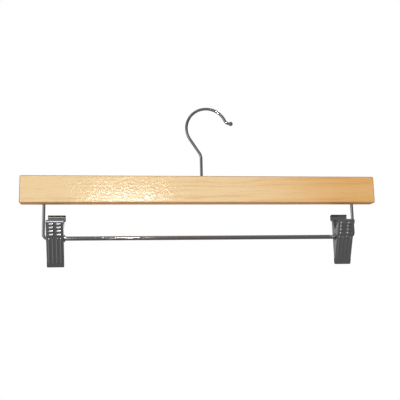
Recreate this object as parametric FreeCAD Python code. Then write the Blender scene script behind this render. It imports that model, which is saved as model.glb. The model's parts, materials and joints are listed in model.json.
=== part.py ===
import FreeCAD, Part
import math
import os

# A skirt hanger: a straight wooden bar under a swivel wire hook, with a sleeved wire rail
# below it that carries two sprung metal clips. Lengths are millimetres, angles are degrees.
# X runs along the bar, Y points to the back and Z points up.

Vector = FreeCAD.Vector
X_AXIS = Vector(1, 0, 0)
Z_AXIS = Vector(0, 0, 1)

# Wooden bar
wood_length = 355.6
wood_height = 27.2
wood_depth = 12.7
wood_edge_radius = 1.3

# Hook, one bent wire with a ball on its tip and an upset head on its foot
hook_wire = 2.8
hook_loop_radius = 20.8
hook_loop_offset = 6.4
hook_loop_height = 50.6
hook_lean_angle = 33.0
hook_neck_radius = 11.0
hook_mouth_angle = 24.0
hook_flick_radius = 5.0
hook_flick_turn = 62.0
hook_tip_run = 1.7
hook_ball = 4.4
hook_head = 4.6
hook_head_height = 1.6
hook_head_play = 0.4

# Barbed bush that holds the hook in the top of the bar
bush_diameter = 6.4
bush_length = 14.0
bush_barbs = 5
bush_barb_height = 0.4
bush_barb_pitch = 2.4

# Wire rail with two legs pushed up into the bar, and the tube slid over its straight run
rail_wire = 2.9
rail_leg_inset = 23.0
rail_drop = 34.2
rail_bend_radius = 4.5
rail_insert = 15.0
sleeve_diameter = 4.1
sleeve_end_gap = 0.4

# Clip plates, pressed from sheet and leaning together from handles to jaws. The front plate's
# walls take the rear plate between them, and the rear plate widens again to a tab at its top.
clip_inset = 11.8
clip_swing = 12.3
sheet = 0.6
front_width = 16.5
plate_standoff = 7.7
front_handle_reach = 20.3
rear_handle_reach = 23.2
rear_tab_overhang = 0.45
rear_tab_height = 6.4
shoulder_rise = 0.8
shoulder_radius = 0.6
handle_lip = 2.1
handle_lip_turn = 68.0
handle_lip_radius = 0.9
jaw_reach = 26.6
jaw_lip = 1.4
jaw_lip_turn = 80.0
jaw_lip_radius = 0.7
wall_handle_end = 17.0
wall_handle_depth = 3.2
wall_jaw_end = 21.0
wall_jaw_depth = 1.8
wall_bend_radius = 0.8
ear_margin = 0.6
handle_corner_radius = 1.8
jaw_corner_radius = 1.4

# Pressed grip bars on the handles and pressed ribs on the jaws
grip_columns = 2
grip_rows = 4
grip_width = 6.6
grip_column_pitch = 7.2
grip_row_pitch = 3.55
grip_first_row = 6.3
grip_radius = 1.8
grip_height = 0.75
rib_count = 4
rib_pitch = 3.8
rib_top = 2.2
rib_bottom = 21.8
rib_radius = 1.15
rib_height = 0.65

# Hollow hinge rivet, torsion spring and grip pads
rivet_wall = 0.4
rivet_rim = 7.0
rivet_rim_thickness = 0.5
spring_wire = 1.0
spring_pitch = 1.6
spring_extra_turns = 3
spring_leg = 12.5
pad_thickness = 1.0
pad_height = 8.0
pad_side_margin = 0.7
pad_lip_margin = 0.5
pad_grooves = 3
pad_groove_depth = 0.35
pad_groove_pitch = 2.0

# Clearances and one overrun for every cut
swivel_clearance = 0.08
press_clearance = 0.02
slide_clearance = 0.25
hinge_clearance = 0.08
side_clearance = 0.12
seat_gap = 0.3
pad_gap = 0.3
overrun = 1.0

# Sizes that follow from the ones above
wood_top = wood_height
rail_axis_height = -rail_drop
hook_top = wood_top + hook_loop_height + hook_loop_radius
seat = Vector(hook_loop_offset, 0, hook_top - hook_wire / 2)
rail_leg_spacing = wood_length - 2 * rail_leg_inset
rail_straight = rail_leg_spacing - 2 * rail_bend_radius
sleeve_length = rail_straight - 2 * sleeve_end_gap
clip_spacing = rail_leg_spacing - 2 * clip_inset
rivet_bore = sleeve_diameter + 2 * slide_clearance
rivet_diameter = rivet_bore + 2 * rivet_wall
ear_hole = rivet_diameter + 2 * hinge_clearance
ear_radius = rivet_rim / 2 + ear_margin
rear_width = front_width - 2 * (sheet + side_clearance)
rear_tab_width = front_width + 2 * rear_tab_overhang
plate_offset = plate_standoff + sheet
pad_offset = plate_standoff - pad_thickness
pad_tip_distance = math.hypot(pad_offset, jaw_reach)
plate_lean = math.degrees(
    math.acos(pad_gap / 2 / pad_tip_distance) - math.atan2(jaw_reach, pad_offset)
)
spring_radius = rivet_diameter / 2 + seat_gap + spring_wire / 2
leg_end_offset = plate_standoff - seat_gap - spring_wire / 2
leg_end_distance = math.hypot(spring_radius, spring_leg)
leg_lean = plate_lean + math.degrees(
    math.asin(leg_end_offset / leg_end_distance) - math.atan2(spring_radius, spring_leg)
)


def flat(y, z):
    """A point of a clip outline, drawn in the plane across the hinge."""
    return Vector(0, y, z)


def direction(angle):
    """Unit direction across the hinge: 0 points to the back and 90 points up."""
    return flat(math.cos(math.radians(angle)), math.sin(math.radians(angle)))


def arc(start, middle, end):
    """Edge through three points."""
    return Part.Arc(start, middle, end).toShape()


def line(start, end):
    """Straight edge between two points."""
    return Part.LineSegment(start, end).toShape()


def corner_arc(before, corner, after, radius):
    """Start, middle and end of the arc that rounds one corner of an open outline."""
    inward = (corner - before).normalize()
    outward = (after - corner).normalize()
    half_turn = inward.getAngle(outward) / 2
    setback = radius * math.tan(half_turn)
    to_centre = (outward - inward).normalize()
    middle = corner + to_centre * (radius / math.cos(half_turn) - radius)
    return corner - inward * setback, middle, corner + outward * setback


def rounded_edges(corners, radii):
    """Edges of an open outline whose inner corners are rounded to the given radii."""
    edges = []
    start = corners[0]
    for index, radius in enumerate(radii, 1):
        first, middle, last = corner_arc(corners[index - 1], corners[index], corners[index + 1], radius)
        edges.append(line(start, first))
        edges.append(arc(first, middle, last))
        start = last
    edges.append(line(start, corners[-1]))
    return edges


def tube_along(edges, diameter):
    """Round wire along a path that starts at the first edge's start."""
    path = Part.Wire(edges)
    first = edges[0]
    start = first.valueAt(first.FirstParameter)
    tangent = first.tangentAt(first.FirstParameter)
    section = Part.Wire(Part.makeCircle(diameter / 2, start, tangent))
    return path.makePipeShell([section], True, False)


def rod(diameter, length, base, axis):
    """Round bar from a base point along an axis."""
    return Part.makeCylinder(diameter / 2, length, base, axis)


def slab(face, centre_x, width):
    """Solid of a face drawn across the hinge, extruded evenly to both sides of centre_x."""
    solid = face.extrude(X_AXIS * width)
    solid.translate(X_AXIS * (centre_x - width / 2))
    return solid


def joined(solids):
    """One solid out of several that share faces or overlap."""
    result = solids[0].multiFuse(solids[1:]).removeSplitter()
    return result.Solids[0]


def make_wood_bar():
    """Straight bar with eased edges and three blind holes."""
    bar = Part.makeBox(
        wood_length, wood_depth, wood_height, Vector(-wood_length / 2, -wood_depth / 2, 0)
    )
    bar = bar.makeFillet(wood_edge_radius, bar.Edges)
    socket_depth = bush_length + hook_head_height + 2 * hook_head_play
    socket = rod(
        bush_diameter + 2 * press_clearance,
        socket_depth + overrun,
        Vector(0, 0, wood_top - socket_depth),
        Z_AXIS,
    )
    holes = [socket]
    for side in (-1, 1):
        holes.append(
            rod(
                rail_wire + 2 * press_clearance,
                rail_insert + overrun,
                Vector(side * rail_leg_spacing / 2, 0, -overrun),
                Z_AXIS,
            )
        )
    return bar.cut(holes)


def make_hook():
    """Wire hook: shank, leaning neck, open loop and a flicked tip with a ball."""
    centre = Vector(hook_loop_offset, 0, wood_top + hook_loop_height)

    def on_loop(angle):
        """Point of the loop, with 0 to the right and 90 at the top."""
        turn = math.radians(angle)
        return centre + Vector(math.cos(turn), 0, math.sin(turn)) * hook_loop_radius

    foot = Vector(0, 0, wood_top - bush_length - hook_head_play)
    entry_angle = 180 + hook_lean_angle
    entry = on_loop(entry_angle)
    lean = math.radians(hook_lean_angle)
    upward = Vector(-math.sin(lean), 0, math.cos(lean))
    neck = entry + upward * (entry.x / math.sin(lean))
    neck_start, neck_middle, neck_end = corner_arc(foot, neck, entry, hook_neck_radius)

    mouth = on_loop(hook_mouth_angle)
    mouth_turn = math.radians(hook_mouth_angle)
    flick_centre = mouth + Vector(math.cos(mouth_turn), 0, math.sin(mouth_turn)) * hook_flick_radius

    def on_flick(turned):
        """Point of the outward curl, after the wire has turned this far back."""
        turn = mouth_turn + math.pi + math.radians(turned)
        return flick_centre + Vector(math.cos(turn), 0, math.sin(turn)) * hook_flick_radius

    flick_end = on_flick(hook_flick_turn)
    heading = mouth_turn - math.pi / 2 + math.radians(hook_flick_turn)
    tip = flick_end + Vector(math.cos(heading), 0, math.sin(heading)) * hook_tip_run

    wire = tube_along(
        [
            line(foot, neck_start),
            arc(neck_start, neck_middle, neck_end),
            line(neck_end, entry),
            arc(entry, on_loop((entry_angle + hook_mouth_angle) / 2), mouth),
            arc(mouth, on_flick(hook_flick_turn / 2), flick_end),
            line(flick_end, tip),
        ],
        hook_wire,
    )
    ball = Part.makeSphere(hook_ball / 2, tip)
    head = rod(hook_head, hook_head_height, foot - Z_AXIS * hook_head_height, Z_AXIS)
    return joined([wire, ball, head])


def make_hook_bush():
    """Sleeve with saw-tooth barbs, pressed flush into the top of the bar."""
    outer = bush_diameter / 2
    root = outer - bush_barb_height
    bore = hook_wire / 2 + swivel_clearance
    bottom = wood_top - bush_length
    outline = [Vector(bore, 0, bottom), Vector(root, 0, bottom)]
    for barb in range(bush_barbs):
        crest = bottom + (barb + 1) * bush_barb_pitch
        outline.append(Vector(outer, 0, crest))
        outline.append(Vector(root, 0, crest))
    outline.append(Vector(root, 0, wood_top - bush_barb_height))
    outline.append(Vector(outer, 0, wood_top - bush_barb_height))
    outline.append(Vector(outer, 0, wood_top))
    outline.append(Vector(bore, 0, wood_top))
    outline.append(outline[0])
    return Part.Face(Part.makePolygon(outline)).revolve(Vector(), Z_AXIS, 360)


def make_clip_rail():
    """U of wire whose legs reach up into the bar."""
    side = rail_leg_spacing / 2
    corners = [
        Vector(-side, 0, rail_insert),
        Vector(-side, 0, rail_axis_height),
        Vector(side, 0, rail_axis_height),
        Vector(side, 0, rail_insert),
    ]
    return tube_along(rounded_edges(corners, [rail_bend_radius, rail_bend_radius]), rail_wire)


def make_rail_sleeve():
    """Thin tube over the straight run of the rail."""
    start = Vector(-sleeve_length / 2, 0, rail_axis_height)
    tube = rod(sleeve_diameter, sleeve_length, start, X_AXIS)
    bore = rod(
        rail_wire + 2 * press_clearance,
        sleeve_length + 2 * overrun,
        start - X_AXIS * overrun,
        X_AXIS,
    )
    return tube.cut(bore)


def on_plate(along, raised=0):
    """Point by the front plate's outer face, so far up from the hinge and raised so far off it."""
    return direction(180 + plate_lean) * (plate_offset + raised) + direction(90 + plate_lean) * along


def plate_corners(handle_reach):
    """Outer face of a front plate across the hinge: top lip, handle, jaw and tip lip."""
    top = on_plate(handle_reach)
    tip = on_plate(-jaw_reach)
    top_lip = top + direction(90 + plate_lean - handle_lip_turn) * handle_lip
    tip_lip = tip + direction(-90 + plate_lean + jaw_lip_turn) * jaw_lip
    return [top_lip, top, tip, tip_lip]


def offset_corners(corners, distance):
    """The same open outline moved sideways, to the left of its direction."""
    moved = []
    for index, corner in enumerate(corners):
        sides = []
        if index > 0:
            sides.append((corner - corners[index - 1]).normalize())
        if index < len(corners) - 1:
            sides.append((corners[index + 1] - corner).normalize())
        normals = [flat(-side.z, side.y) for side in sides]
        mean = sum(normals, Vector()).normalize()
        moved.append(corner + mean * (distance / mean.dot(normals[0])))
    return moved


def plate_section(handle_reach):
    """Face of the bent sheet across the hinge."""
    outer = plate_corners(handle_reach)
    inner = offset_corners(outer, sheet)
    inner_radii = [handle_lip_radius, jaw_lip_radius]
    edges = rounded_edges(outer, [radius + sheet for radius in inner_radii])
    edges.append(line(outer[-1], inner[-1]))
    edges.extend(rounded_edges(inner[::-1], inner_radii[::-1]))
    edges.append(line(inner[0], outer[0]))
    return Part.Face(Part.Wire(Part.__sortEdges__(edges)))


def ear_tangent(point, side):
    """Where a line from the point touches the round ear about the hinge."""
    toward = math.atan2(point.z, point.y)
    spread = side * math.acos(ear_radius / point.Length)
    return flat(math.cos(toward + spread), math.sin(toward + spread)) * ear_radius


def wall_section():
    """Face of one side wall: a skirt that deepens into a round ear at the hinge."""
    high = on_plate(wall_handle_end, -sheet / 2)
    low = on_plate(-wall_jaw_end, -sheet / 2)
    high_inner = on_plate(wall_handle_end, -wall_handle_depth)
    low_inner = on_plate(-wall_jaw_end, -wall_jaw_depth)
    high_touch = ear_tangent(high_inner, -1)
    low_touch = ear_tangent(low_inner, 1)
    ear_back = direction(plate_lean) * ear_radius
    edges = [
        line(high, low),
        line(low, low_inner),
        line(low_inner, low_touch),
        arc(low_touch, ear_back, high_touch),
        line(high_touch, high_inner),
        line(high_inner, high),
    ]
    return Part.Face(Part.Wire(edges))


def bend_waste(width):
    """Slivers outside the two rounded bends where the plate's face turns into its walls."""
    outward = direction(180 + plate_lean)
    foot = on_plate(-wall_jaw_end) - outward * wall_bend_radius
    along = on_plate(wall_handle_end) - on_plate(-wall_jaw_end)
    reach = wall_bend_radius + overrun
    slivers = []
    for side in (-1, 1):
        across = X_AXIS * side
        centre = foot + across * (width / 2 - wall_bend_radius)
        far = centre + across * reach
        corners = [centre, far, far + outward * reach, centre + outward * reach, centre]
        block = Part.Face(Part.makePolygon(corners)).extrude(along)
        slivers.append(block.cut(rod(2 * wall_bend_radius, along.Length, centre, along)))
    return slivers


def press(radius, height, start, end):
    """Raised bar with round ends along start to end on the plate, and the groove behind it."""
    along = end - start
    base = start + direction(180 + plate_lean) * (height - radius)
    bar = rod(2 * radius, along.Length, base, along)
    round_ends = [Part.makeSphere(radius, base), Part.makeSphere(radius, base + along)]
    groove = rod(2 * (radius - sheet), along.Length, base, along)
    return joined([bar] + round_ends), groove


def plate_presses():
    """Raised bars and grooves of the grip rows and the jaw ribs."""
    presses = []
    half_run = X_AXIS * (grip_width / 2 - grip_radius)
    for column in range(grip_columns):
        across = X_AXIS * ((column - (grip_columns - 1) / 2) * grip_column_pitch)
        for row in range(grip_rows):
            place = on_plate(grip_first_row + row * grip_row_pitch) + across
            presses.append(press(grip_radius, grip_height, place - half_run, place + half_run))
    for rib in range(rib_count):
        across = X_AXIS * ((rib - (rib_count - 1) / 2) * rib_pitch)
        start = on_plate(rib_top) + across
        end = on_plate(-rib_bottom) + across
        presses.append(press(rib_radius, rib_height, start, end))
    return presses


def plate_blank(width, handle_reach, tab_width):
    """Block with the plate's outline seen square on, which trims the bent sheet to shape."""
    top = handle_reach + handle_lip * math.cos(math.radians(handle_lip_turn)) + sheet
    tip = -jaw_reach - jaw_lip * math.cos(math.radians(jaw_lip_turn))
    tab_foot = top - rear_tab_height
    side = [(tab_width / 2, top), (width / 2, tip)]
    radii = [handle_corner_radius, jaw_corner_radius]
    if tab_width > width:
        side[1:1] = [(tab_width / 2, tab_foot), (width / 2, tab_foot - shoulder_rise)]
        radii[1:1] = [shoulder_radius, shoulder_radius]
    far_side = [(-across, along) for across, along in reversed(side)]
    outline = [(0, top)] + side + far_side + [(0, top)]
    depth = handle_lip + sheet + overrun
    corners = [on_plate(along, depth) + X_AXIS * across for across, along in outline]
    face = Part.Face(Part.Wire(rounded_edges(corners, radii + radii[::-1])))
    return face.extrude(direction(plate_lean) * (2 * depth))


def make_plate(width, handle_reach, tab_width):
    """Plate on the front side of a closed clip, with the hinge along X through the origin."""
    wall = wall_section()
    wall_centre = (width - sheet) / 2
    bent = slab(plate_section(handle_reach), 0, tab_width)
    solids = [bent.common(plate_blank(width, handle_reach, tab_width)).Solids[0]]
    for side in (-1, 1):
        solids.append(slab(wall, side * wall_centre, sheet))
    hinge_hole = rod(ear_hole, width + 2 * overrun, X_AXIS * (-width / 2 - overrun), X_AXIS)
    presses = plate_presses()
    plate = joined(solids).cut([hinge_hole] + bend_waste(width) + [groove for _, groove in presses])
    behind = slab(Part.Face(space_behind(handle_reach)), 0, width + 2 * overrun)
    caps = [cap for bar, groove in presses for cap in bar.cut([groove, behind]).Solids]
    return joined([plate] + caps)


def space_behind(handle_reach):
    """Closed outline behind the middle of the sheet, which raised bars must not reach into."""
    top = on_plate(handle_reach, -sheet / 2)
    tip = on_plate(-jaw_reach, -sheet / 2)
    depth = direction(plate_lean) * plate_offset
    return Part.makePolygon([top, tip, tip + depth, top + depth, top])


def make_pad(width):
    """Grooved pad on the inner face of the jaw, just above its lip."""
    downward = direction(-90 + plate_lean)
    inward = direction(plate_lean)
    low = on_plate(sheet + pad_lip_margin - jaw_reach, -sheet)
    high = low - downward * pad_height
    outline = [low, high, high + inward * pad_thickness, low + inward * pad_thickness, low]
    pad = slab(Part.Face(Part.makePolygon(outline)), 0, width)
    for groove in range(pad_grooves):
        centre = (low + high) / 2 + inward * pad_thickness
        centre = centre + downward * ((groove - (pad_grooves - 1) / 2) * pad_groove_pitch)
        start = centre - X_AXIS * (width / 2 + overrun)
        pad = pad.cut(rod(2 * pad_groove_depth, width + 2 * overrun, start, X_AXIS))
    return pad.Solids[0]


def make_hinge_rivet():
    """Hollow rivet through the four ears, rolled over at both ends."""
    ear_side = front_width / 2 + side_clearance
    end = ear_side + rivet_rim_thickness
    bore = rivet_bore / 2
    outline = [
        Vector(-end, bore, 0),
        Vector(-end, rivet_rim / 2, 0),
        Vector(-ear_side, rivet_rim / 2, 0),
        Vector(-ear_side, rivet_diameter / 2, 0),
        Vector(ear_side, rivet_diameter / 2, 0),
        Vector(ear_side, rivet_rim / 2, 0),
        Vector(end, rivet_rim / 2, 0),
        Vector(end, bore, 0),
        Vector(-end, bore, 0),
    ]
    return Part.Face(Part.makePolygon(outline)).revolve(Vector(), X_AXIS, 360)


def biarc_edges(start, start_tangent, end, end_tangent):
    """Two tangent arcs between two points with given directions."""
    chord = end - start
    both = start_tangent + end_tangent
    lead = chord.dot(both)
    fold = 2 * (1 - start_tangent.dot(end_tangent))
    reach = (math.sqrt(lead * lead + fold * chord.dot(chord)) - lead) / fold
    first_handle = start + start_tangent * reach
    last_handle = end - end_tangent * reach
    joint = (first_handle + last_handle) / 2
    edges = []
    for near, handle, far in ((start, first_handle, joint), (joint, last_handle, end)):
        weight = math.cos((handle - near).getAngle(far - handle) / 2)
        middle = (near + handle * (2 * weight) + far) / (2 + 2 * weight)
        edges.append(arc(near, middle, far))
    return edges


def least_gap(path, diameter, loop_length):
    """Least clear space between stretches of a wire that are more than half a loop apart."""
    points = path.discretize(Distance=diameter / 2)
    skip = int(loop_length / diameter)
    gaps = [
        (points[far] - points[near]).Length - diameter
        for near in range(len(points))
        for far in range(near + skip, len(points))
    ]
    return min(gaps)


def make_spring():
    """Torsion spring: a leg out to each handle and a coil round the rivet, as one wire."""
    turned = 180 - 2 * leg_lean + 360 * spring_extra_turns
    first_turn = 180 + leg_lean
    rise = spring_pitch / (2 * math.pi)
    half_length = spring_pitch * turned / 360 / 2
    quarters = math.ceil(turned / 90)

    def on_coil(turn):
        """Point of the coil's middle line."""
        along = (turn - first_turn) / 360 * spring_pitch - half_length
        return direction(turn) * spring_radius + X_AXIS * along

    def coil_tangent(turn):
        """Direction of the wire at that point."""
        return (direction(turn + 90) * spring_radius + X_AXIS * rise).normalize()

    turns = [first_turn + turned * step / quarters for step in range(quarters + 1)]
    leg_start = on_coil(turns[0]) - coil_tangent(turns[0]) * spring_leg
    leg_end = on_coil(turns[-1]) + coil_tangent(turns[-1]) * spring_leg
    edges = [line(leg_start, on_coil(turns[0]))]
    for near, far in zip(turns, turns[1:]):
        edges.extend(biarc_edges(on_coil(near), coil_tangent(near), on_coil(far), coil_tangent(far)))
    edges.append(line(on_coil(turns[-1]), leg_end))
    spring = tube_along(edges, spring_wire)
    path = Part.Wire(edges)
    gap = least_gap(path, spring_wire, math.pi * spring_radius)
    share = spring.Volume / (math.pi * (spring_wire / 2) ** 2 * path.Length)
    print(f"spring: least gap {gap:.2f} mm, volume over section times length {share:.3f}")
    return spring


def turned_round(shape):
    """Copy of a clip piece turned half round the upright axis, front to back."""
    copy = shape.copy()
    copy.rotate(Vector(), Z_AXIS, 180)
    return copy


def make_clip():
    """Pieces of one closed clip, with the hinge along X through the origin."""
    pad = make_pad(rear_width - 2 * (sheet + pad_side_margin))
    return {
        "front_jaw": make_plate(front_width, front_handle_reach, front_width),
        "rear_jaw": turned_round(make_plate(rear_width, rear_handle_reach, rear_tab_width)),
        "hinge_rivet": make_hinge_rivet(),
        "spring": make_spring(),
        "front_pad": pad,
        "rear_pad": turned_round(pad),
    }


def placed_clip(pieces, side_name, side):
    """Copies of the clip's pieces, swung about the rail and set on one end of it."""
    placed = {}
    for name, shape in pieces.items():
        copy = shape.copy()
        copy.rotate(Vector(), X_AXIS, clip_swing)
        copy.translate(Vector(side * clip_spacing / 2, 0, rail_axis_height))
        placed[f"{side_name}_{name}"] = copy
    return placed


def make_hanger():
    """Every piece by node name, with the origin where the rail seats in the hook."""
    nodes = {
        "wood_bar": make_wood_bar(),
        "hook": make_hook(),
        "hook_bush": make_hook_bush(),
        "clip_rail": make_clip_rail(),
        "rail_sleeve": make_rail_sleeve(),
    }
    clip = make_clip()
    nodes.update(placed_clip(clip, "left", -1))
    nodes.update(placed_clip(clip, "right", 1))
    for shape in nodes.values():
        shape.translate(-seat)
    return nodes


os.makedirs("parts", exist_ok=True)
for node, shape in make_hanger().items():
    if not shape.isValid() or len(shape.Solids) != 1:
        raise ValueError(f"{node} is not one valid solid")
    shape.exportStep(f"parts/{node}.step")
    print(f"{node}: {shape.Volume:.1f} mm3")
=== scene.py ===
"""Wooden skirt hanger: a maple bar under a swivel wire hook, with two sprung clips on a rail."""

import json
import logging
import math
from dataclasses import dataclass, field
from enum import Enum
from typing import Mapping, Optional, Sequence, Union

import bpy
from mathutils import Matrix, Quaternion, Vector


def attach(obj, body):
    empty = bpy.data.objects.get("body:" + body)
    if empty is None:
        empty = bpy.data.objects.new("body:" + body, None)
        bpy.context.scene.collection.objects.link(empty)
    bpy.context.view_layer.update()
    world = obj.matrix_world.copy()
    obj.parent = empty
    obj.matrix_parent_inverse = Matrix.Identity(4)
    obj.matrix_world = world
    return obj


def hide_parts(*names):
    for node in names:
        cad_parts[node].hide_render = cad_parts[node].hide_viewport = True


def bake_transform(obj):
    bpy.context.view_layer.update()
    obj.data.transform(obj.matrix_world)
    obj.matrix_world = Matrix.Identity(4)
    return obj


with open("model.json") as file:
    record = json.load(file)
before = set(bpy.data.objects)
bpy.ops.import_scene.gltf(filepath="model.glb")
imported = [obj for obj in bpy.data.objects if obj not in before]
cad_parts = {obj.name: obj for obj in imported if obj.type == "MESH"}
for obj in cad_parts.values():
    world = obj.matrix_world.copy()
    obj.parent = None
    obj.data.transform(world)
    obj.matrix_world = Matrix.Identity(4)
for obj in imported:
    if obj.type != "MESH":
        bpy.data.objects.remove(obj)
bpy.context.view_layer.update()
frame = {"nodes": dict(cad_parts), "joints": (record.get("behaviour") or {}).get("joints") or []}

MM = 0.001
FULL_TURN = 2 * math.pi
HALF_TURN = math.pi
QUARTER_TURN = math.pi / 2

# The screen colour curve, and socket numbers of the Mix node for colours.
SCREEN_WHITE = 255
TOE_END = 0.04045
TOE_SLOPE = 12.92
CURVE_OFFSET = 0.055
CURVE_POWER = 2.4
NOISE_MIDDLE = 0.5
MIX_SHARE, MIX_UNDER, MIX_OVER = 0, 6, 7
MIX_COLOUR = 2

Number = Union[int, float]
Point = tuple[float, float, float]
Colour = tuple[float, float, float, float]
Operand = Union["Wire", Number]
SocketValue = Union["Wire", Number, Sequence[float]]
Settings = Optional[Mapping[str, object]]
Sockets = Optional[Mapping[Union[str, int], SocketValue]]

log = logging.getLogger("skirt_hanger")


def tone(red: int, green: int, blue: int) -> Colour:
    """Linear colour of an everyday 0 to 255 screen colour.

    Args:
        red: Red share, 0 to 255.
        green: Green share, 0 to 255.
        blue: Blue share, 0 to 255.

    Returns:
        The same colour as linear red, green, blue and a full alpha.
    """
    def linear(level: int) -> float:
        """Linear value of one screen level."""
        share = level / SCREEN_WHITE
        if share <= TOE_END:
            return share / TOE_SLOPE
        return ((share + CURVE_OFFSET) / (1 + CURVE_OFFSET)) ** CURVE_POWER

    return (linear(red), linear(green), linear(blue), 1.0)


def grey(shade: float) -> Colour:
    """Linear grey of one shade from 0 to 1."""
    return (shade, shade, shade, 1.0)


WHITE = grey(1.0)


class Side(Enum):
    """The two clips, by the end of the rail that they hang from."""

    LEFT = "left"
    RIGHT = "right"


class Jaw(Enum):
    """The two plates of a clip. The value turns a front piece into its place."""

    FRONT = 0.0
    REAR = HALF_TURN

    @property
    def word(self) -> str:
        """The plate's word in node and body names."""
        return self.name.lower()


@dataclass(frozen=True)
class Step:
    """Smooth step of a value, from nothing at its low end to the full amount at its high end."""

    low: float
    high: float
    amount: float = 1.0


@dataclass(frozen=True)
class Speckle:
    """Even noise: the size of one spot along each axis, and how many finer layers are added."""

    spot: Point
    layers: float


class Wire:
    """One value carried between shader nodes. Arithmetic on it adds Math nodes."""

    def __init__(self, graph: "Graph", socket: bpy.types.NodeSocket) -> None:
        """Keep the node graph and the socket that the value comes out of."""
        self.graph = graph
        self.socket = socket

    def _math(self, operation: str, *operands: Operand) -> "Wire":
        """Add one Math node.

        Args:
            operation: The Math node's operation.
            operands: Its inputs in order.

        Returns:
            The node's result.
        """
        sockets = dict(enumerate(operands))
        return self.graph.wire("ShaderNodeMath", 0, {"operation": operation}, sockets)

    def __add__(self, other: Operand) -> "Wire":
        """Sum of this value and another."""
        return self._math("ADD", self, other)

    def __radd__(self, other: Operand) -> "Wire":
        """Sum of another value and this one."""
        return self._math("ADD", other, self)

    def __sub__(self, other: Operand) -> "Wire":
        """This value less another."""
        return self._math("SUBTRACT", self, other)

    def __rsub__(self, other: Operand) -> "Wire":
        """Another value less this one."""
        return self._math("SUBTRACT", other, self)

    def __mul__(self, other: Operand) -> "Wire":
        """Product of this value and another."""
        return self._math("MULTIPLY", self, other)

    def __rmul__(self, other: Operand) -> "Wire":
        """Product of another value and this one."""
        return self._math("MULTIPLY", other, self)

    def __pow__(self, power: Operand) -> "Wire":
        """This value raised to a power."""
        return self._math("POWER", self, power)

    def __neg__(self) -> "Wire":
        """This value with its sign turned."""
        return self * -1

    def __abs__(self) -> "Wire":
        """This value without its sign."""
        return self._math("ABSOLUTE", self)

    def wave(self) -> "Wire":
        """Sine of this value, taken as radians and brought to 0 to 1."""
        return self._math("SINE", self) * 0.5 + 0.5

    def root(self) -> "Wire":
        """Square root of this value."""
        return self._math("SQRT", self)

    def larger(self, other: Operand) -> "Wire":
        """The larger of this value and another."""
        return self._math("MAXIMUM", self, other)

    def ramp(self, step: Step) -> "Wire":
        """Smooth step of this value.

        Args:
            step: Where it starts and ends, and what it rises to.

        Returns:
            A value from 0 to the step's amount.
        """
        sockets = {
            "Value": self, "From Min": step.low, "From Max": step.high, "To Max": step.amount
        }
        settings = {"interpolation_type": "SMOOTHSTEP"}
        return self.graph.wire("ShaderNodeMapRange", 0, settings, sockets)


class Graph:
    """The node tree of one material or world."""

    def __init__(self, tree: bpy.types.NodeTree) -> None:
        """Start from an empty tree."""
        tree.nodes.clear()
        self.tree = tree

    def add(self, kind: str, settings: Settings = None, sockets: Sockets = None) -> bpy.types.Node:
        """Add a node.

        Args:
            kind: The node's type.
            settings: Its own settings, set first.
            sockets: Values or links of its inputs, by name or number.

        Returns:
            The new node.
        """
        node = self.tree.nodes.new(kind)
        for name, setting in (settings or {}).items():
            setattr(node, name, setting)
        for key, value in (sockets or {}).items():
            if isinstance(value, Wire):
                self.tree.links.new(value.socket, node.inputs[key])
            else:
                node.inputs[key].default_value = value
        return node

    def wire(
        self,
        kind: str,
        output: Union[str, int],
        settings: Settings = None,
        sockets: Sockets = None,
    ) -> Wire:
        """Add a node and take one of its outputs.

        Args:
            kind: The node's type.
            output: Name or number of the output.
            settings: Its own settings, set first.
            sockets: Values or links of its inputs, by name or number.

        Returns:
            The chosen output.
        """
        return Wire(self, self.add(kind, settings, sockets).outputs[output])

    def place(self) -> Wire:
        """Place on the piece, in metres."""
        return self.wire("ShaderNodeTexCoord", "Object")

    def facing(self) -> Wire:
        """Direction in which the piece's surface faces."""
        return self.wire("ShaderNodeTexCoord", "Normal")

    def toward(self, heading: Point) -> Wire:
        """How far a place on the piece lies along a heading, in metres."""
        sockets = {0: self.place(), 1: heading}
        return self.wire("ShaderNodeVectorMath", "Value", {"operation": "DOT_PRODUCT"}, sockets)

    def parts(self, vector: Wire) -> tuple[Wire, Wire, Wire]:
        """The X, Y and Z values of a vector."""
        node = self.add("ShaderNodeSeparateXYZ", {}, {0: vector})
        along, deep, high = (Wire(self, output) for output in node.outputs)
        return along, deep, high

    def cloud(self, speckle: Speckle) -> Wire:
        """Even noise over the piece.

        Args:
            speckle: Its spots and layers.

        Returns:
            A value around 0.5.
        """
        sockets = {0: self.place(), 1: tuple(1 / size for size in speckle.spot)}
        scaled = self.wire("ShaderNodeVectorMath", 0, {"operation": "MULTIPLY"}, sockets)
        noise = {"Vector": scaled, "Scale": 1.0, "Detail": speckle.layers}
        return self.wire("ShaderNodeTexNoise", 0, {}, noise)

    def lay(self, under: Union[Wire, Colour], over: Union[Wire, Colour], share: Operand) -> Wire:
        """Lay one colour over another.

        Args:
            under: The colour below.
            over: The colour on top.
            share: How much of it covers, from 0 to 1.

        Returns:
            The combined colour.
        """
        settings = {"data_type": "RGBA", "blend_type": "MIX", "clamp_factor": True}
        sockets = {MIX_SHARE: share, MIX_UNDER: under, MIX_OVER: over}
        return self.wire("ShaderNodeMix", MIX_COLOUR, settings, sockets)

    def bump(self, height: Wire, depth: float, strength: float) -> Wire:
        """Surface normal that follows a height.

        Args:
            height: Height from 0 to 1.
            depth: What a height of 1 measures, in metres.
            strength: Share of the effect.

        Returns:
            The tilted normal.
        """
        sockets = {"Strength": strength, "Distance": depth, "Height": height}
        return self.wire("ShaderNodeBump", 0, {}, sockets)

    def glow(self, colour: Union[Wire, Colour]) -> Wire:
        """Shader that shines with a colour, whatever light falls on it."""
        return self.wire("ShaderNodeEmission", 0, {}, {"Color": colour, "Strength": 1.0})

    def surface(self, shader: Wire) -> None:
        """Make a shader the material's surface."""
        self.add("ShaderNodeOutputMaterial", {}, {"Surface": shader})


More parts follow.
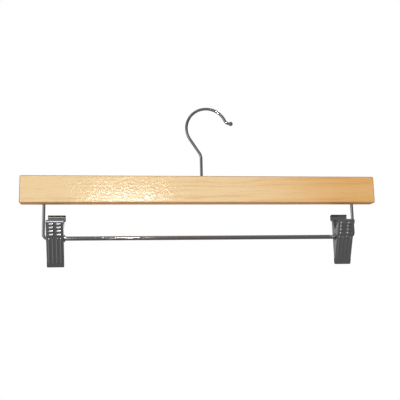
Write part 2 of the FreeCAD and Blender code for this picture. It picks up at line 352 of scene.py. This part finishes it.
def new_material(name: str) -> tuple[bpy.types.Material, Graph]:
    """A material with an empty node graph.

    Args:
        name: The material's name.

    Returns:
        The material and its graph.
    """
    material = bpy.data.materials.new(name)
    material.use_nodes = True
    return material, Graph(material.node_tree)


class Finish:
    """A surface finish that can be turned into a material."""

    name: str

    def coat(self, graph: Graph) -> dict[str, SocketValue]:
        """Sockets of the finish's shader, to be given by each finish."""
        raise NotImplementedError

    def material(self) -> bpy.types.Material:
        """The finish as a material, made once.

        Returns:
            The material of this name.
        """
        made = bpy.data.materials.get(self.name)
        if made is None:
            made, graph = new_material(self.name)
            graph.surface(graph.wire("ShaderNodeBsdfPrincipled", 0, {}, self.coat(graph)))
        return made


@dataclass(frozen=True)
class LacqueredMaple(Finish):
    """Pale maple under clear lacquer, with long grain, pores and end grain. Its underside and
    rounded edges carry painted shade, and it turns darker and more orange towards the right end,
    partly heartwood tint and partly painted shade.
    """

    name: str = "lacquered_maple"

    sapwood: Colour = tone(240, 210, 162)
    # Darker, more orange tone towards the right end: partly heartwood, partly painted shade where
    # the light falls off.
    heartwood_and_shade: Colour = tone(226, 168, 96)
    late_growth: Colour = tone(198, 146, 92)
    # Pore colour, also laid on the rounded edges as painted shade.
    pore_and_edge_shade: Colour = tone(166, 118, 72)
    end_wood: Colour = tone(188, 138, 88)
    # Painted shade: a warmer, darker brown that stands in for the shade and bounce light under the
    # bar.
    underside_shade: Colour = tone(232, 162, 100)

    sways: Speckle = Speckle((90 * MM, 14 * MM, 14 * MM), 2.0)
    fibres: Speckle = Speckle((34 * MM, 0.9 * MM, 0.9 * MM), 3.0)
    patches: Speckle = Speckle((120 * MM, 11 * MM, 11 * MM), 2.0)
    flecks: Speckle = Speckle((7 * MM, 0.35 * MM, 0.35 * MM), 1.0)
    peel: Speckle = Speckle((1.8 * MM, 1.8 * MM, 1.8 * MM), 0.0)

    ring_width: float = 3.4 * MM
    ring_sway: float = 8.0 * MM
    ring_sharpness: float = 6.0
    pith_depth: float = 64 * MM
    pith_height: float = -150 * MM
    grain_slope: float = -0.022

    # Heartwood tint and painted shade rise from the middle to the right end.
    heart_and_shade_step: Step = Step(5 * MM, 155 * MM, 0.78)
    patch_share: float = 0.7
    growth_step: Step = Step(0.4, 0.62, 0.28)
    fibre_step: Step = Step(0.45, 0.8, 0.25)
    pore_step: Step = Step(0.62, 0.74)
    pore_share: float = 0.3
    end_step: Step = Step(0.6, 0.95)
    end_share: float = 0.35
    end_ring_share: float = 0.4
    # Painted shade on the faces that look down.
    underside_shade_step: Step = Step(0.5, 0.95, 0.8)
    # Where the rounded edges begin, and how much painted shade they get.
    flat_step: Step = Step(0.85, 0.995)
    edge_shade_share: float = 0.8

    gloss: float = 0.10
    fibre_dull: float = 0.06
    pore_dull: float = 0.1
    end_dull: float = 0.25
    above_dull: Step = Step(0.2, 0.7, 0.4)
    specular: float = 0.3
    skin_depth: float = 0.09 * MM
    skin_strength: float = 0.7
    pore_sink: float = 0.3

    def ring(self, graph: Graph) -> Wire:
        """Growth rings round a pith that lies behind and below the bar.

        Args:
            graph: The material's node graph.

        Returns:
            A value that is 1 in the late wood of each ring.
        """
        along, deep, high = graph.parts(graph.place())
        behind = deep - self.pith_depth
        over = high - self.pith_height + along * self.grain_slope
        radius = (behind * behind + over * over).root() + graph.cloud(self.sways) * self.ring_sway
        return (radius * (FULL_TURN / self.ring_width)).wave() ** self.ring_sharpness

    def coat(self, graph: Graph) -> dict[str, SocketValue]:
        """Rings, fibres and pores under a glossy skin that sparkles a little, with painted shade
        on the underside and on the rounded edges, and painted shade mixed into the heartwood tint
        towards the right end.

        Args:
            graph: The material's node graph.

        Returns:
            Values of the shader's sockets.
        """
        along, _, _ = graph.parts(graph.place())
        across, inward, upward = graph.parts(graph.facing())
        ring = self.ring(graph)
        fibre = graph.cloud(self.fibres)
        patch = graph.cloud(self.patches)
        pores = graph.cloud(self.flecks).ramp(self.pore_step)
        end = abs(across).ramp(self.end_step)
        flat = abs(across).larger(abs(inward)).larger(abs(upward))
        # The rounded edges, which get painted shade.
        edge_shade = 1.0 - flat.ramp(self.flat_step)

        # Partly heartwood tint, partly painted shade: darker and more orange towards the right
        # end, with random patches.
        heart_and_shade = along.ramp(self.heart_and_shade_step) + (patch - NOISE_MIDDLE) * self.patch_share
        growth = ring * patch.ramp(self.growth_step) + fibre.ramp(self.fibre_step)
        colour = graph.lay(self.sapwood, self.heartwood_and_shade, heart_and_shade)
        colour = graph.lay(colour, self.late_growth, growth)
        colour = graph.lay(colour, self.pore_and_edge_shade, pores * self.pore_share)
        end_cover = end * (ring * self.end_ring_share + self.end_share)
        colour = graph.lay(colour, self.end_wood, end_cover)
        # Painted shade: the downward faces get the warmer, darker underside colour.
        colour = graph.lay(colour, self.underside_shade, (-upward).ramp(self.underside_shade_step))
        # Painted shade: the rounded edges are darkened with the pore colour.
        colour = graph.lay(colour, self.pore_and_edge_shade, edge_shade * self.edge_shade_share)

        dull = fibre * self.fibre_dull + pores * self.pore_dull + end * self.end_dull
        skin_height = graph.cloud(self.peel) - pores * self.pore_sink
        return {
            "Base Color": colour,
            "Roughness": dull + upward.ramp(self.above_dull) + self.gloss,
            "Specular IOR Level": self.specular,
            "Normal": graph.bump(skin_height, self.skin_depth, self.skin_strength),
        }


@dataclass(frozen=True)
class Plating(Finish):
    """Bright plated metal with faint smears and drawing lines."""

    name: str
    tint: Colour
    dull_tint: Colour
    polish: float
    smear_dull: float
    ripple_depth: float = 0.0008 * MM
    ripple_strength: float = 0.6
    smears: Speckle = Speckle((14 * MM, 6 * MM, 9 * MM), 3.0)
    smear_step: Step = Step(0.4, 0.75)
    smear_share: float = 0.6
    lines: Speckle = Speckle((2.0 * MM, 2.0 * MM, 2.0 * MM), 2.0)
    line_step: Step = Step(0.55, 0.8, 0.2)
    line_dull: float = 0.04

    def coat(self, graph: Graph) -> dict[str, SocketValue]:
        """Mirror metal, duller where it is smeared.

        Args:
            graph: The material's node graph.

        Returns:
            Values of the shader's sockets.
        """
        smear = graph.cloud(self.smears).ramp(self.smear_step)
        line = graph.cloud(self.lines)
        dulled = smear * self.smear_share + line.ramp(self.line_step)
        return {
            "Base Color": graph.lay(self.tint, self.dull_tint, dulled),
            "Metallic": 1.0,
            "Roughness": smear * self.smear_dull + line * self.line_dull + self.polish,
            "Normal": graph.bump(line, self.ripple_depth, self.ripple_strength),
        }


@dataclass(frozen=True)
class SoftVinyl(Finish):
    """Matt moulded vinyl with a fine pebbled skin."""

    name: str = "grip_vinyl"
    body: Colour = tone(58, 58, 60)
    worn: Colour = tone(92, 91, 90)
    pebbles: Speckle = Speckle((0.35 * MM, 0.35 * MM, 0.35 * MM), 1.0)
    pebble_step: Step = Step(0.5, 0.8, 0.15)
    pebble_dull: float = 0.2
    pebble_depth: float = 0.03 * MM
    pebble_strength: float = 0.7
    rubs: Speckle = Speckle((4 * MM, 2 * MM, 2 * MM), 2.0)
    rub_step: Step = Step(0.45, 0.75, 0.5)
    dull: float = 0.5
    specular: float = 0.35

    def coat(self, graph: Graph) -> dict[str, SocketValue]:
        """Dark matt skin, paler where it is rubbed.

        Args:
            graph: The material's node graph.

        Returns:
            Values of the shader's sockets.
        """
        pebble = graph.cloud(self.pebbles)
        rubbed = graph.cloud(self.rubs).ramp(self.rub_step) + pebble.ramp(self.pebble_step)
        return {
            "Base Color": graph.lay(self.body, self.worn, rubbed),
            "Roughness": pebble * self.pebble_dull + self.dull,
            "Specular IOR Level": self.specular,
            "Normal": graph.bump(pebble, self.pebble_depth, self.pebble_strength),
        }


MAPLE = LacqueredMaple()
GRIP_VINYL = SoftVinyl()
CHROME_WIRE = Plating(
    "chrome_wire",
    tint=(0.66, 0.67, 0.69, 1.0),
    dull_tint=(0.52, 0.53, 0.55, 1.0),
    polish=0.05,
    smear_dull=0.01,
)
CHROME_TUBE = Plating(
    "chrome_tube",
    tint=(0.64, 0.65, 0.67, 1.0),
    dull_tint=(0.50, 0.51, 0.53, 1.0),
    polish=0.07,
    smear_dull=0.01,
)
CHROME_SHEET = Plating(
    "chrome_sheet",
    tint=(0.60, 0.61, 0.63, 1.0),
    dull_tint=(0.46, 0.47, 0.49, 1.0),
    polish=0.12,
    smear_dull=0.10,
    ripple_depth=0.01 * MM,
)
NICKEL = Plating(
    "nickel_rivet",
    tint=(0.60, 0.58, 0.54, 1.0),
    dull_tint=(0.45, 0.43, 0.40, 1.0),
    polish=0.20,
    smear_dull=0.12,
)
SPRING_STEEL = Plating(
    "spring_steel",
    tint=(0.40, 0.40, 0.42, 1.0),
    dull_tint=(0.26, 0.25, 0.25, 1.0),
    polish=0.26,
    smear_dull=0.14,
)
ZINC = Plating(
    "zinc_bush",
    tint=(0.52, 0.53, 0.54, 1.0),
    dull_tint=(0.38, 0.38, 0.39, 1.0),
    polish=0.30,
    smear_dull=0.15,
)


def joint(name: str) -> Mapping[str, object]:
    """The frame's joint of that name."""
    return next(found for found in frame["joints"] if found["name"] == name)


def new_object(
    name: str,
    points: Sequence[Sequence[float]],
    faces: Sequence[Sequence[int]],
    material: bpy.types.Material,
) -> bpy.types.Object:
    """A mesh object in the scene.

    Args:
        name: The object's name.
        points: Its vertices in the shared frame.
        faces: Vertex numbers of each face.
        material: What it is made of.

    Returns:
        The new object.
    """
    mesh = bpy.data.meshes.new(name)
    mesh.from_pydata([tuple(point) for point in points], [], [tuple(face) for face in faces])
    mesh.materials.append(material)
    made = bpy.data.objects.new(name, mesh)
    bpy.context.scene.collection.objects.link(made)
    log.info("%s built with %d faces", name, len(faces))
    return made


def new_piece(
    name: str, points: Sequence[Vector], faces: Sequence[Sequence[int]], finish: Finish
) -> bpy.types.Object:
    """A smooth piece of the hanger.

    Args:
        name: The piece's name.
        points: Its vertices in the shared frame.
        faces: Vertex numbers of each face.
        finish: What it is coated with.

    Returns:
        The new object, in the scene.
    """
    piece = new_object(name, points, faces, finish.material())
    piece.data.shade_smooth()
    return piece


def bands(rings: int, count: int) -> list[list[int]]:
    """Faces between neighbouring rings of equally many points.

    Args:
        rings: How many rings there are.
        count: How many points each has.

    Returns:
        Vertex numbers of each face.
    """
    faces = []
    for base in range(0, (rings - 1) * count, count):
        for step in range(count):
            after = (step + 1) % count
            faces.append([base + step, base + after, base + count + after, base + count + step])
    return faces


def skin(rings: Sequence[Sequence[Vector]]) -> tuple[list[Vector], list[list[int]]]:
    """Closed skin over rings of equally many points.

    Args:
        rings: Cross-sections in order. The first and last are closed with a face.

    Returns:
        The skin's vertices and faces.
    """
    count = len(rings[0])
    points = [point for ring in rings for point in ring]
    first = list(range(count))[::-1]
    last = list(range(len(points) - count, len(points)))
    return points, [first, *bands(len(rings), count), last]


class Dressed:
    """Construction pieces that keep their shape and only get a finish."""

    finishes: Mapping[str, Finish]

    def dress(self) -> None:
        """Coat each piece."""
        for node, finish in self.finishes.items():
            materials = frame["nodes"][node].data.materials
            materials.clear()
            materials.append(finish.material())
            log.info("%s coated with %s", node, finish.name)


@dataclass
class WoodBar(Dressed):
    """The straight wooden bar."""

    finishes: Mapping[str, Finish] = field(default_factory=lambda: {"wood_bar": MAPLE})


@dataclass
class SwivelHook(Dressed):
    """The wire hook and the bush that it turns in."""

    finishes: Mapping[str, Finish] = field(
        default_factory=lambda: {"hook": CHROME_WIRE, "hook_bush": ZINC}
    )


@dataclass
class ClipRail(Dressed):
    """The wire rail and the tube over its straight run."""

    finishes: Mapping[str, Finish] = field(
        default_factory=lambda: {"clip_rail": CHROME_WIRE, "rail_sleeve": CHROME_TUBE}
    )


@dataclass
class TorsionSpring:
    """Coil round the hinge with a leg out to each handle."""

    wire: float = 1.0 * MM
    radius: float = 3.5 * MM
    pitch: float = 1.6 * MM
    leg: float = 12.5 * MM
    leg_angle: float = math.radians(30.293)
    extra_turns: int = 3
    steps_per_turn: int = 40
    leg_steps: int = 6
    sides: int = 16
    end_round: Sequence[tuple[float, float]] = ((0.5, 0.5), (0.8, 0.25), (1.0, 0.0))

    @property
    def turned(self) -> float:
        """Angle that the wire goes through round the hinge."""
        return HALF_TURN - 2 * self.leg_angle + FULL_TURN * self.extra_turns

    @property
    def half_length(self) -> float:
        """Half of the coil's length along the hinge."""
        return self.pitch * self.turned / FULL_TURN / 2

    def heading(self, angle: float) -> Vector:
        """Direction of the coil's wire at an angle round the hinge."""
        rise = self.pitch / FULL_TURN
        turn = Vector((0, -math.sin(angle), math.cos(angle))) * self.radius
        return (turn + Vector((rise, 0, 0))).normalized()

    def centreline(self) -> list[Vector]:
        """The wire's line, from the front leg's end to the rear leg's end.

        Returns:
            Points about the hinge, before the clip is swung.
        """
        count = round(self.steps_per_turn * self.turned / FULL_TURN)
        start = HALF_TURN + self.leg_angle
        coil = []
        for step in range(count + 1):
            turn = self.turned * step / count
            along = self.pitch * turn / FULL_TURN - self.half_length
            spoke = Vector((0, math.cos(start + turn), math.sin(start + turn))) * self.radius
            coil.append(spoke + Vector((along, 0, 0)))
        leg_parts = [self.leg * part / self.leg_steps for part in range(self.leg_steps, 0, -1)]
        out = -self.heading(start)
        back = self.heading(start + self.turned)
        first = [coil[0] + out * part for part in leg_parts]
        last = [coil[-1] + back * part for part in reversed(leg_parts)]
        return first + coil + last

    def rings(self) -> list[list[Vector]]:
        """Cross-sections along the wire, with rounded ends.

        Returns:
            Rings of points about the hinge.
        """
        half = self.wire / 2
        turns = [FULL_TURN * side / self.sides for side in range(self.sides)]
        line = self.centreline()
        tangents = [(after - before).normalized() for before, after in zip(line, line[1:])]
        tangents.append(tangents[-1])
        across = tangents[0].orthogonal().normalized()
        rings = []
        for number, (point, tangent) in enumerate(zip(line, tangents)):
            if number:
                across = tangents[number - 1].rotation_difference(tangent) @ across
            scales = [(1.0, 0.0)]
            if number == 0:
                scales = list(self.end_round)
            if number == len(line) - 1:
                scales = [(share, -setback) for share, setback in reversed(self.end_round)]
            for share, setback in scales:
                centre = point - tangent * (setback * half)
                spoke = across * (share * half)
                rings.append([centre + Quaternion(tangent, turn) @ spoke for turn in turns])
        return rings


@dataclass
class GripPad:
    """Grooved soft pad inside a jaw's tip."""

    width: float = 12.46 * MM
    height: float = 8.0 * MM
    thickness: float = 1.0 * MM
    edge: float = 0.3 * MM
    least_edge_share: float = 0.2
    groove: float = 0.35 * MM
    groove_pitch: float = 2.0 * MM
    grooves: int = 3
    arc_steps: int = 8
    stations: int = 5

    def outline(self, shrink: float) -> list[Vector]:
        """Cross-section of the pad, with its back on Y 0 and its lower edge on Z 0.

        Args:
            shrink: How far the whole outline is drawn in, in metres.

        Returns:
            Points of the outline in order.
        """
        edge = max(self.edge - shrink, self.least_edge_share * self.edge)
        far = self.thickness - shrink
        near_arc, far_arc = shrink + edge, far - edge
        low_arc, high_arc = shrink + edge, self.height - shrink - edge
        points = self._arc(near_arc, low_arc, edge, -HALF_TURN, -QUARTER_TURN)
        points += self._arc(far_arc, low_arc, edge, -QUARTER_TURN, 0.0)
        for groove in range(self.grooves):
            up = self.height / 2 + (groove - (self.grooves - 1) / 2) * self.groove_pitch
            points += self._arc(far, up, self.groove, QUARTER_TURN + HALF_TURN, QUARTER_TURN)
        points += self._arc(far_arc, high_arc, edge, 0.0, QUARTER_TURN)
        points += self._arc(near_arc, high_arc, edge, QUARTER_TURN, HALF_TURN)
        return points

    def _arc(
        self, deep: float, up: float, radius: float, start: float, end: float
    ) -> list[Vector]:
        """Points of a round stretch.

        Args:
            deep: Centre's place into the pad.
            up: Centre's height.
            radius: Radius of the arc.
            start: First angle.
            end: Last angle.

        Returns:
            Points from the first angle to the last.
        """
        steps = range(self.arc_steps + 1)
        turns = [start + (end - start) * step / self.arc_steps for step in steps]
        spokes = [Vector((0, math.cos(turn), math.sin(turn))) for turn in turns]
        return [Vector((0, deep, up)) + spoke * radius for spoke in spokes]

    def rings(self) -> list[list[Vector]]:
        """Cross-sections from one end of the pad to the other, drawn in at both ends.

        Returns:
            Rings of points, with the pad's middle on X 0.
        """
        stops = []
        for step in range(self.stations + 1):
            turn = QUARTER_TURN * step / self.stations
            place = self.width / 2 - self.edge * (1 - math.sin(turn))
            stops.append((place, self.edge * (1 - math.cos(turn))))
        left = [(-place, shrink) for place, shrink in reversed(stops)]
        return [
            [point + Vector((place, 0, 0)) for point in self.outline(shrink)]
            for place, shrink in left + stops
        ]


@dataclass
class SpringClip(Dressed):
    """One sprung clip: two plates, a hinge rivet, a spring and two pads."""

    side: Side
    swing: float = math.radians(12.3)
    plate_lean: float = math.radians(13.824)
    pad_back: float = 7.7 * MM
    pad_low: float = -25.5 * MM
    spring: TorsionSpring = field(default_factory=TorsionSpring)
    pad: GripPad = field(default_factory=GripPad)

    @property
    def finishes(self) -> Mapping[str, Finish]:
        """Finishes of the plates and the rivet."""
        plates = {f"{self.side.value}_{jaw.word}_jaw": CHROME_SHEET for jaw in Jaw}
        return {**plates, f"{self.side.value}_hinge_rivet": NICKEL}

    @property
    def hinge(self) -> Vector:
        """Middle of the hinge in the shared frame."""
        return Vector(joint(f"{self.side.value}_clip_open")["pos_m"])

    def placed(self, points: Sequence[Vector], turn: Matrix) -> list[Vector]:
        """Points about the hinge, turned and then swung to where the clip hangs.

        Args:
            points: Points about the hinge of an upright clip.
            turn: What turns them first.

        Returns:
            Points in the shared frame.
        """
        stand = Matrix.Translation(self.hinge) @ Matrix.Rotation(self.swing, 4, "X") @ turn
        return [stand @ point for point in points]

    def build_spring(self) -> None:
        """Make the spring, which sits between the two plates."""
        name = f"{self.side.value}_spring"
        points, faces = skin(self.spring.rings())
        points = self.placed(points, Matrix.Identity(4))
        piece = new_piece(f"{name}_wire", points, faces, SPRING_STEEL)
        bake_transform(piece)
        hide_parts(name)

    def build_pad(self, jaw: Jaw) -> None:
        """Make the pad of one plate.

        Args:
            jaw: The plate that carries it.
        """
        node = f"{self.side.value}_{jaw.word}_pad"
        points, faces = skin(self.pad.rings())
        turn = (
            Matrix.Rotation(jaw.value, 4, "Z")
            @ Matrix.Rotation(self.plate_lean, 4, "X")
            @ Matrix.Translation(Vector((0, -self.pad_back, self.pad_low)))
        )
        piece = new_piece(f"{node}_vinyl", self.placed(points, turn), faces, GRIP_VINYL)
        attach(piece, f"{self.side.value}_{jaw.word}")
        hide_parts(node)

    def build(self) -> None:
        """Make the clip's spring and pads."""
        self.build_spring()
        for jaw in Jaw:
            self.build_pad(jaw)


@dataclass
class SoftBox:
    """A rectangular studio lamp.

    Only a mirrored lamp shows as a highlight. One with lit nodes lights those pieces alone.
    """

    name: str
    place: Point
    aim: Point
    size: tuple[float, float]
    power: float
    mirrored: bool = True
    lit_nodes: Sequence[str] = ()

    def build(self) -> None:
        """Hang the lamp and point it. Where it lights only some pieces, tie it to them."""
        lamp = bpy.data.lights.new(self.name, "AREA")
        lamp.shape = "RECTANGLE"
        lamp.size, lamp.size_y = self.size
        lamp.energy = self.power
        rig = bpy.data.objects.new(self.name, lamp)
        rig.location = self.place
        heading = Vector(self.aim) - Vector(self.place)
        rig.rotation_mode = "QUATERNION"
        rig.rotation_quaternion = heading.to_track_quat("-Z", "Y")
        rig.visible_camera = False
        rig.visible_glossy = self.mirrored
        bpy.context.scene.collection.objects.link(rig)
        if self.lit_nodes:
            lit = bpy.data.collections.new(f"{self.name}_lit")
            for node in self.lit_nodes:
                lit.objects.link(frame["nodes"][node])
            rig.light_linking.receiver_collection = lit
        log.info("%s lamp hung", self.name)


# Places that the lamps and screens are set up about, in metres.
MIDDLE = (0.0, 0.0, -0.09)
CLIP_LINE = (0.0, 0.0, -0.12)
LEFT_CLIP = (-0.15, 0.0, -0.12)
RIGHT_CLIP = (0.14, 0.0, -0.13)
BAR_GLARE = (-0.065, 0.0, -0.09)


@dataclass
class DarkScreen:
    """Round grey screen that only mirror surfaces see, so that bright metal keeps its contrast."""

    name: str
    reach: float
    lowest: float
    highest: float
    dark: float
    light: float
    light_side: Point
    middle: Point = MIDDLE
    columns: int = 48
    rows: int = 12

    def points(self) -> list[Vector]:
        """Points of the screen, row by row from its lower edge.

        Returns:
            Points in the shared frame.
        """
        points = []
        for row in range(self.rows + 1):
            lift = self.lowest + (self.highest - self.lowest) * row / self.rows
            out, up = math.cos(lift), math.sin(lift)
            for column in range(self.columns):
                turn = FULL_TURN * column / self.columns
                spoke = Vector((math.cos(turn) * out, math.sin(turn) * out, up))
                points.append(Vector(self.middle) + spoke * self.reach)
        return points

    def build(self) -> None:
        """Set up the screen round the hanger."""
        material, graph = new_material(self.name)
        lightness = graph.toward(self.light_side).ramp(Step(-self.reach, self.reach))
        graph.surface(graph.glow(graph.lay(grey(self.dark), grey(self.light), lightness)))
        faces = bands(self.rows + 1, self.columns)
        screen = new_object(self.name, self.points(), faces, material)
        screen.visible_camera = False
        screen.visible_diffuse = False
        screen.visible_transmission = False
        screen.visible_shadow = False


LEFT_JAWS = ("left_front_jaw", "left_rear_jaw")
RIGHT_JAWS = ("right_front_jaw", "right_rear_jaw")
FRONT_JAWS = ("left_front_jaw", "right_front_jaw")
REAR_JAWS = ("left_rear_jaw", "right_rear_jaw")

# Each lamp's name, place, aim, width and height in metres, and power in watts.
FILL_LAMPS = (
    SoftBox("key", (-0.2, -1.1, 0.75), (0.02, 0.0, -0.09), (0.7, 0.7), 9.2, mirrored=False),
    SoftBox("top", (0.1, 0.5, 1.2), MIDDLE, (0.9, 0.9), 4.0, mirrored=False),
    SoftBox("rear", (0.2, 1.2, 0.5), MIDDLE, (0.9, 0.9), 7.0, mirrored=False),
    SoftBox("bounce", (0.0, -0.3, -0.6), MIDDLE, (0.6, 0.4), 1.2, mirrored=False),
)
HIGHLIGHT_LAMPS = (
    SoftBox(
        "wood_flash", (-0.072, -0.85, 0.036), BAR_GLARE, (0.16, 0.030), 1.05,
        lit_nodes=("wood_bar",),
    ),
    SoftBox(
        "rail_flash", (-0.072, -0.85, 0.053), BAR_GLARE, (0.05, 0.06), 0.50,
        lit_nodes=("rail_sleeve",),
    ),
    SoftBox(
        "hook_flash", (-0.150, -0.85, -0.200), (0.010, 0.0, 0.0), (0.06, 0.06), 1.80,
        lit_nodes=("hook",),
    ),
    SoftBox(
        "glint", (-0.236, -0.85, 0.41), LEFT_CLIP, (0.06, 0.60), 0.26,
        lit_nodes=LEFT_JAWS + RIGHT_JAWS,
    ),
    SoftBox(
        "dot_glint", (0.07, -0.85, 0.56), CLIP_LINE, (0.40, 0.30), 6.0,
        lit_nodes=FRONT_JAWS,
    ),
    SoftBox(
        "rear_glint", (0.0, 0.85, 0.41), CLIP_LINE, (0.90, 0.60), 4.0,
        lit_nodes=REAR_JAWS,
    ),
    SoftBox(
        "right_panel", (1.0, 0.0, -0.10), RIGHT_CLIP, (0.6, 0.5), 0.30,
        lit_nodes=RIGHT_JAWS,
    ),
    SoftBox("low_glint", (-0.200, -0.5, -0.18), LEFT_CLIP, (0.036, 0.25), 0.06),
    SoftBox("side", (-0.46, -0.13, -0.36), (0.0, 0.0, -0.14), (0.3, 0.2), 0.04),
    SoftBox("left_panel", (-1.0, 0.0, 0.05), RIGHT_CLIP, (0.45, 0.5), 0.45),
    SoftBox(
        "wire_panel", (-0.95, -0.75, -0.06), (0.0, 0.0, -0.06), (1.0, 0.5), 0.75,
        lit_nodes=("hook", "clip_rail"),
    ),
    SoftBox("back_panel", (-0.2, 1.15, 0.05), (0.0, 0.0, -0.13), (0.8, 0.25), 0.17),
    SoftBox(
        "left_wall_panel", (0.02, 1.14, 0.05), (-0.15, 0.0, -0.13), (0.36, 0.25), 0.22,
        lit_nodes=LEFT_JAWS,
    ),
)
SCREENS = (
    DarkScreen(
        "low_screen",
        reach=620 * MM,
        lowest=math.radians(-89),
        highest=math.radians(-12),
        dark=0.13,
        light=0.20,
        light_side=(-0.08, -0.6, 0.8),
    ),
    DarkScreen(
        "wall_screen",
        reach=1600 * MM,
        lowest=math.radians(-14),
        highest=math.radians(89),
        dark=0.02,
        light=0.21,
        light_side=(-0.5, -0.45, 0.74),
    ),
)


@dataclass
class Studio:
    """Pale floor, white surroundings, grey screens for the metal, and soft lamps."""

    floor_height: float = -760 * MM
    floor_reach: float = 1900 * MM
    floor_tone: Colour = tone(236, 236, 235)
    floor_glow: float = 0.4
    fade_start_share: float = 0.35
    fade_end_share: float = 0.95
    fill: float = 0.30
    lamps: Sequence[SoftBox] = FILL_LAMPS + HIGHLIGHT_LAMPS
    screens: Sequence[DarkScreen] = SCREENS

    def build_world(self) -> None:
        """Surroundings that look white and light the hanger evenly."""
        world = bpy.data.worlds.new("studio")
        world.use_nodes = True
        graph = Graph(world.node_tree)
        rays = graph.add("ShaderNodeLightPath").outputs
        seen = Wire(graph, rays["Is Camera Ray"])
        seen = seen.larger(Wire(graph, rays["Is Glossy Ray"]))
        seen = seen.larger(Wire(graph, rays["Is Transmission Ray"]))
        kind = "ShaderNodeBackground"
        white = graph.wire(kind, 0, {}, {"Strength": 1.0, "Color": WHITE})
        soft = graph.wire(kind, 0, {}, {"Strength": self.fill, "Color": WHITE})
        mixed = graph.wire("ShaderNodeMixShader", 0, {}, {0: seen, 1: soft, 2: white})
        graph.add("ShaderNodeOutputWorld", {}, {"Surface": mixed})
        bpy.context.scene.world = world

    def build_floor(self) -> None:
        """Plain pale floor that fades into the white surroundings."""
        reach, height = self.floor_reach, self.floor_height
        material, graph = new_material("floor_paper")
        along, deep, _ = graph.parts(graph.place())
        fade = Step(
            self.fade_start_share * reach, self.fade_end_share * reach, 1 - self.floor_glow
        )
        outward = (along * along + deep * deep).root().ramp(fade)
        seen = graph.wire("ShaderNodeLightPath", "Is Camera Ray")
        share = (outward + self.floor_glow) * seen
        paper = graph.wire("ShaderNodeBsdfDiffuse", 0, {}, {"Color": self.floor_tone})
        shaders = {0: share, 1: paper, 2: graph.glow(WHITE)}
        graph.surface(graph.wire("ShaderNodeMixShader", 0, {}, shaders))
        corners = [(-reach, -reach), (reach, -reach), (reach, reach), (-reach, reach)]
        points = [(x, y, height) for x, y in corners]
        floor = new_object("floor", points, [range(len(points))], material)

    def build(self) -> None:
        """Set up the surroundings, floor, screens, lamps and colour handling."""
        bpy.context.scene.view_settings.view_transform = "Standard"
        self.build_world()
        self.build_floor()
        for screen in self.screens:
            screen.build()
        for lamp in self.lamps:
            lamp.build()


@dataclass
class Viewpoint:
    """The photograph's viewpoint, found from the bar's corners, the rail's legs and the hook."""

    target: Point = (-8.41 * MM, 0.0, -93.45 * MM)
    distance: float = 650 * MM
    azimuth: float = math.radians(-7.003)
    elevation: float = math.radians(-10.024)
    roll: float = math.radians(-1.21)
    focal_pixels: float = 649.52
    picture_pixels: float = 400.0
    sensor: float = 36.0

    def build(self) -> None:
        """Make the camera."""
        data = bpy.data.cameras.new("viewpoint")
        data.sensor_width = self.sensor
        data.lens = self.focal_pixels / self.picture_pixels * self.sensor
        camera = bpy.data.objects.new("viewpoint", data)
        level = math.cos(self.elevation)
        sideways, forward = math.sin(self.azimuth), math.cos(self.azimuth)
        back = Vector((sideways * level, -forward * level, math.sin(self.elevation)))
        flat_right = Vector((forward, sideways, 0))
        flat_up = back.cross(flat_right)
        right = flat_right * math.cos(self.roll) + flat_up * math.sin(self.roll)
        axes = Matrix((right, back.cross(right), back)).transposed()
        stand = Matrix.Translation(Vector(self.target) + back * self.distance)
        camera.matrix_world = stand @ axes.to_4x4()
        bpy.context.scene.collection.objects.link(camera)
        bpy.context.scene.camera = camera


def main() -> None:
    """Build and dress the hanger, then set up the studio and the viewpoint."""
    logging.basicConfig(level=logging.INFO, format="%(message)s")
    WoodBar().dress()
    SwivelHook().dress()
    ClipRail().dress()
    for side in Side:
        clip = SpringClip(side)
        clip.build()
        clip.dress()
    Studio().build()
    Viewpoint().build()


if __name__ == "__main__":
    main()
